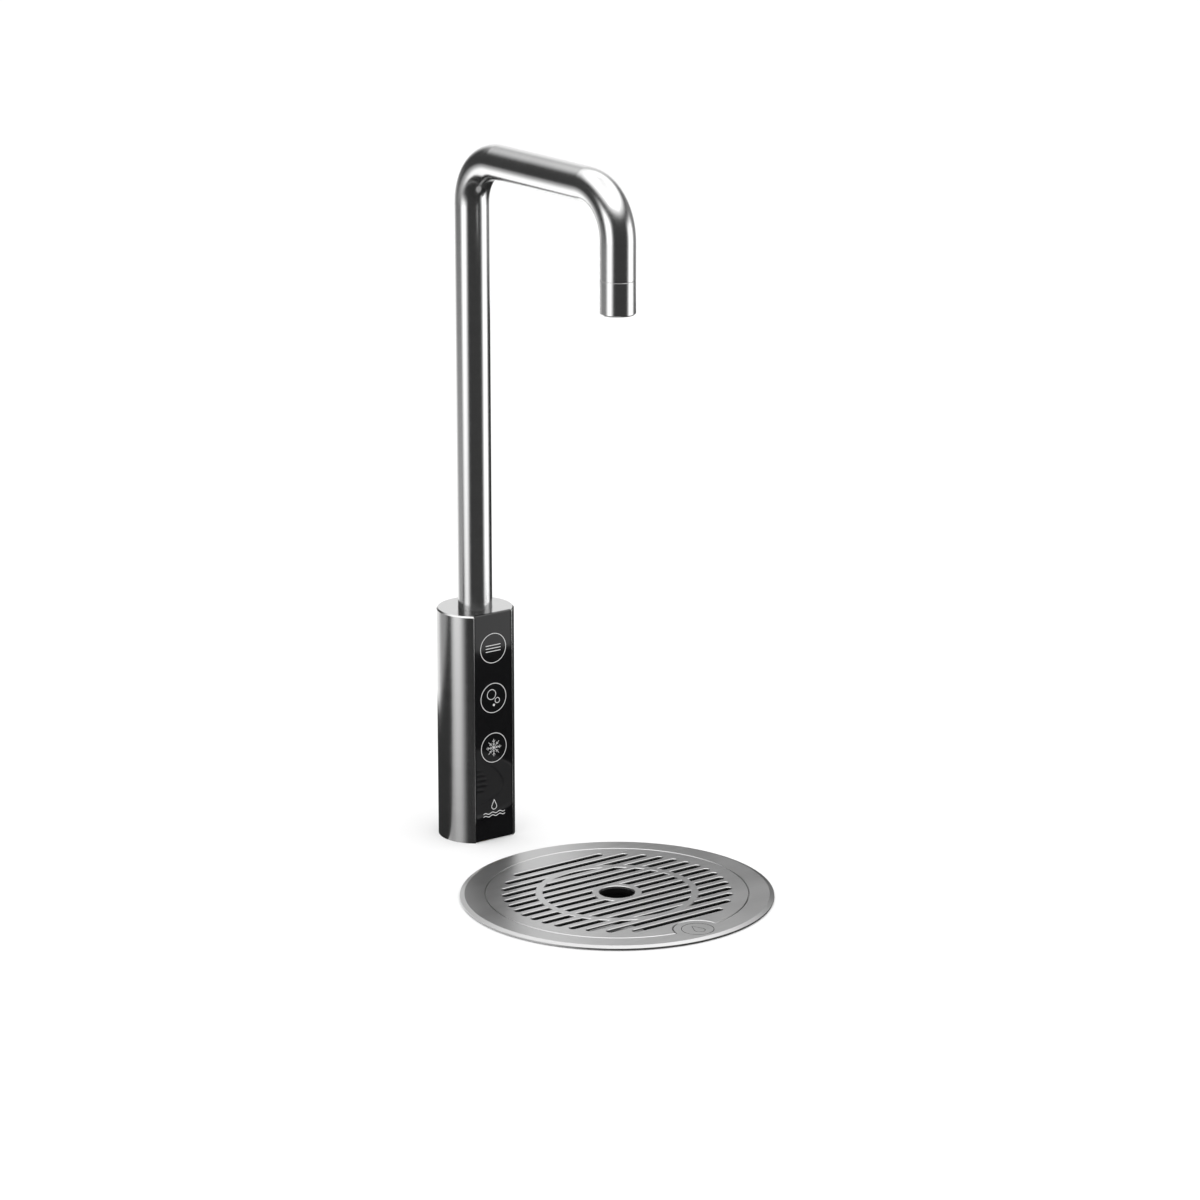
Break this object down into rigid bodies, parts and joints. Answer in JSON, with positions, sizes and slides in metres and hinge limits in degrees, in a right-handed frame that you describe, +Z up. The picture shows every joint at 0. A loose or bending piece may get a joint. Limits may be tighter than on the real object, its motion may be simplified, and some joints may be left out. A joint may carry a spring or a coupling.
{
  "type": "countertop water dispenser",
  "caption": "Column water tap with a tall square-bent spout, a black glass touch panel and a flush round drip tray with a slotted lift-out grille.",
  "frame": {"origin": "on the tap's axis, where the column stands on the worktop's top surface", "axes": "+Z up along the column, -Y the front, towards the drip tray and the user, +X to the right as seen from the front"},
  "size_m": [0.197, 0.2805, 0.5546],
  "materials": {
    "brushed_steel": "fine brushed, clear grain",
    "tray_steel": "brushed along X",
    "spout_steel": "polished along the tube, finely brushed",
    "screw_steel": "bright zinc-like steel",
    "black_glass": "gloss black, printed on the back",
    "tape": "black adhesive foam",
    "light_guide": "milky white",
    "circuit_board": "green board lacquer",
    "sensor_pads": "gilded pads",
    "socket_plastic": "black moulded",
    "cable_sheath": "black sheath",
    "brass": "turned",
    "rubber": "black",
    "still_tube": "natural tube",
    "sparkling_tube": "blue tube",
    "chilled_tube": "teal tube",
    "inlet_plastic": "pale grey moulded",
    "nozzle_plastic": "dark grey moulded",
    "drain_plastic": "pale grey moulded"
  },
  "bodies": {
    "dispenser": {"column_shell": "brushed_steel", "base_plug": "brushed_steel", "base_seal": "rubber", "touch_glass": "black_glass", "glass_tape": "tape", "light_guide": "light_guide", "touch_board": "circuit_board", "touch_sensors": "sensor_pads", "board_screws": "screw_steel", "board_socket": "socket_plastic", "signal_cable": "cable_sheath", "signal_socket": "socket_plastic", "spout_tube": "spout_steel", "spout_collar": "brass", "spout_grub_screw": "screw_steel", "spout_seal": "rubber", "still_water_line": "still_tube", "sparkling_water_line": "sparkling_tube", "chilled_water_line": "chilled_tube", "nozzle_adapter": "brass", "mounting_shank": "brass", "inlet_plate": "socket_plastic", "still_inlet": "inlet_plastic", "sparkling_inlet": "inlet_plastic", "chilled_inlet": "inlet_plastic", "tray_rim": "tray_steel", "tray_basin": "tray_steel", "rim_seal": "rubber", "drain_seal": "rubber", "drain_body": "drain_plastic", "drain_strainer": "screw_steel"},
    "grille": {"tray_grille": "tray_steel", "grille_pads": "rubber"},
    "nozzle_core": {"nozzle_cartridge": "nozzle_plastic", "nozzle_seal": "rubber"},
    "nozzle_cap": {"nozzle_tip": "spout_steel"},
    "clamp_plate": {"clamp_seal": "rubber", "clamp_washer": "brushed_steel"},
    "clamp_nut": {"clamp_nut": "brass"},
    "drain_clamp": {"drain_washer": "rubber"},
    "drain_nut": {"drain_nut": "drain_plastic"}
  },
  "joints": [
    {"name": "grille_lift", "type": "slide", "parent": "dispenser", "child": "grille", "axis": [0, 0, 1], "range_m": [0, 0.06]},
    {"name": "nozzle_turn", "type": "hinge", "parent": "nozzle_core", "child": "nozzle_cap", "pos_m": [0, -0.154, 0.383], "axis": [0, 0, 1], "range_deg": [-3600, 0]},
    {"name": "nozzle_drop", "type": "slide", "parent": "dispenser", "child": "nozzle_core", "axis": [0, 0, 1], "range_m": [-0.01, 0]},
    {"name": "clamp_nut_turn", "type": "hinge", "parent": "clamp_plate", "child": "clamp_nut", "pos_m": [0, 0, -0.038], "axis": [0, 0, 1], "range_deg": [-7200, 4320]},
    {"name": "clamp_slide", "type": "slide", "parent": "dispenser", "child": "clamp_plate", "axis": [0, 0, 1], "range_m": [-0.03, 0.018]},
    {"name": "drain_nut_turn", "type": "hinge", "parent": "drain_clamp", "child": "drain_nut", "pos_m": [0, -0.154, -0.035], "axis": [0, 0, 1], "range_deg": [-2880, 0]},
    {"name": "drain_clamp_slide", "type": "slide", "parent": "dispenser", "child": "drain_clamp", "axis": [0, 0, 1], "range_m": [-0.012, 0]}
  ],
  "couplings": [
    {"joint": "nozzle_drop", "follows": "nozzle_turn", "m_per_rad": 0.00015915},
    {"joint": "clamp_slide", "follows": "clamp_nut_turn", "m_per_rad": 0.00023873},
    {"joint": "drain_clamp_slide", "follows": "drain_nut_turn", "m_per_rad": 0.00023873}
  ]
}
